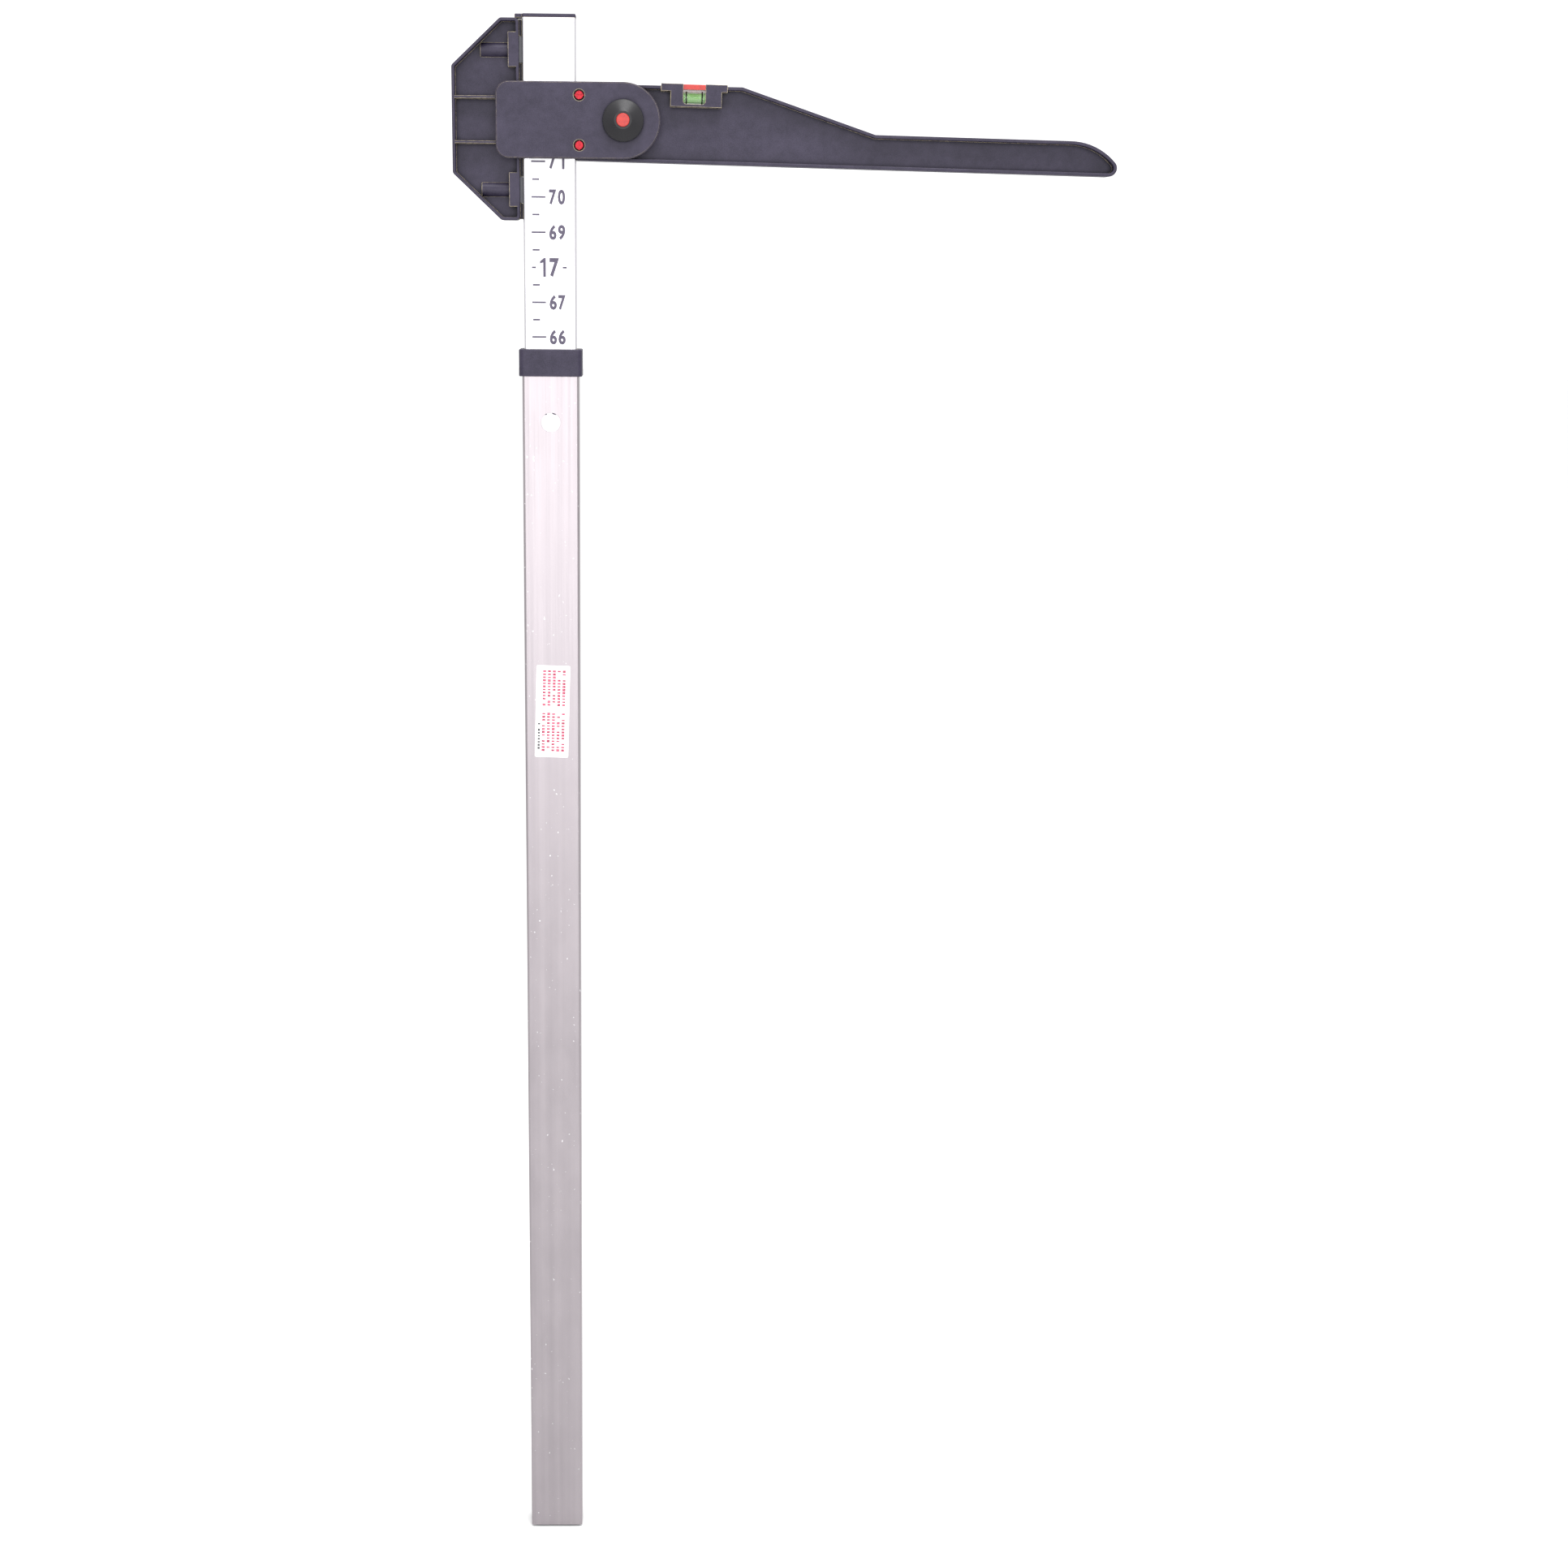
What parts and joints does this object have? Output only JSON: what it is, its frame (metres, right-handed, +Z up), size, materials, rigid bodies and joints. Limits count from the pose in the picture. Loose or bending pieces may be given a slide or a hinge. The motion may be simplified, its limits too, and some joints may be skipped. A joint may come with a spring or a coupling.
{
  "type": "telescopic height measuring stick",
  "caption": "Two-section aluminium measuring stick with an inch scale, a sliding plastic carriage and a pivoting arm that carries a spirit level.",
  "frame": {"origin": "centre of the foot, on the face that stands on the ground", "axes": "+Z up along the tubes, +X towards the arm's tip, -Y the front with the printed scale"},
  "size_m": [0.491, 0.0403, 1.219],
  "materials": {
    "outer_aluminium": "satin extruded and clear anodised, fine lines along the tube",
    "inner_aluminium": "satin extruded and clear anodised, fine lines along the tube",
    "black_plastic": "moulded, fine spark-eroded texture",
    "gloss_black": "polished moulding",
    "red_plastic": "glossy red moulding",
    "red_lacquer": "red lacquered screw heads",
    "zinc_steel": "bright zinc plate",
    "spring_steel": "drawn wire and strip",
    "brass": "turned",
    "white_nylon": "natural nylon",
    "grey_nylon": "self-lubricating nylon",
    "label_film": "printed self-adhesive film",
    "scale_film": "printed self-adhesive film",
    "clear_acrylic": "clear polished acrylic",
    "green_fluid": "tinted spirit"
  },
  "bodies": {
    "outer_section": {"outer_tube": "outer_aluminium", "foot_plug": "black_plastic", "collar": "black_plastic", "label_sticker": "label_film"},
    "inner_section": {"inner_tube": "inner_aluminium", "scale_strip": "scale_film", "top_cap": "black_plastic", "tail_plug": "black_plastic", "lock_spring": "spring_steel"},
    "lock_button": {"lock_button": "grey_nylon"},
    "carriage": {"carriage_frame": "black_plastic", "front_plate": "black_plastic", "rear_plate": "black_plastic", "plate_spacers": "zinc_steel", "cover_screws": "red_lacquer", "screw_nuts": "zinc_steel", "pivot_bolt": "zinc_steel", "friction_washers": "white_nylon", "shoe_spring_upper": "spring_steel", "shoe_spring_lower": "spring_steel"},
    "arm": {"arm": "black_plastic", "arm_bush": "brass", "level_holder": "black_plastic", "level_vial": "clear_acrylic", "vial_plugs": "white_nylon", "vial_fluid": "green_fluid", "vial_clip": "red_plastic"},
    "knob": {"clamp_knob": "gloss_black", "knob_insert": "brass", "knob_cap": "red_plastic"},
    "upper_shoe": {"brake_shoe_upper": "grey_nylon"},
    "lower_shoe": {"brake_shoe_lower": "grey_nylon"}
  },
  "joints": [
    {"name": "extension", "type": "slide", "parent": "outer_section", "child": "inner_section", "axis": [0, 0, 1], "range_m": [0, 0.689]},
    {"name": "button_press", "type": "slide", "parent": "inner_section", "child": "lock_button", "axis": [0, 1, 0], "range_m": [0, 0.002], "stiffness_N_per_m": 600, "springref_m": -0.0026, "deforming": ["lock_spring"]},
    {"name": "carriage_slide", "type": "slide", "parent": "inner_section", "child": "carriage", "axis": [0, 0, 1], "range_m": [-0.0931, 0]},
    {"name": "arm_fold", "type": "hinge", "parent": "carriage", "child": "arm", "pos_m": [0.0542, 0, 1.1444], "axis": [0, -1, 0], "range_deg": [0, 91.1]},
    {"name": "knob_turn", "type": "hinge", "parent": "carriage", "child": "knob", "pos_m": [0.0542, 0, 1.1444], "axis": [0, -1, 0], "range_deg": [0, 360]},
    {"name": "upper_shoe_press", "type": "slide", "parent": "carriage", "child": "upper_shoe", "axis": [-1, 0, 0], "range_m": [0, 0.003], "stiffness_N_per_m": 1200, "springref_m": -0.002, "deforming": ["shoe_spring_upper"]},
    {"name": "lower_shoe_press", "type": "slide", "parent": "carriage", "child": "lower_shoe", "axis": [-1, 0, 0], "range_m": [0, 0.003], "stiffness_N_per_m": 1200, "springref_m": -0.002, "deforming": ["shoe_spring_lower"]}
  ]
}
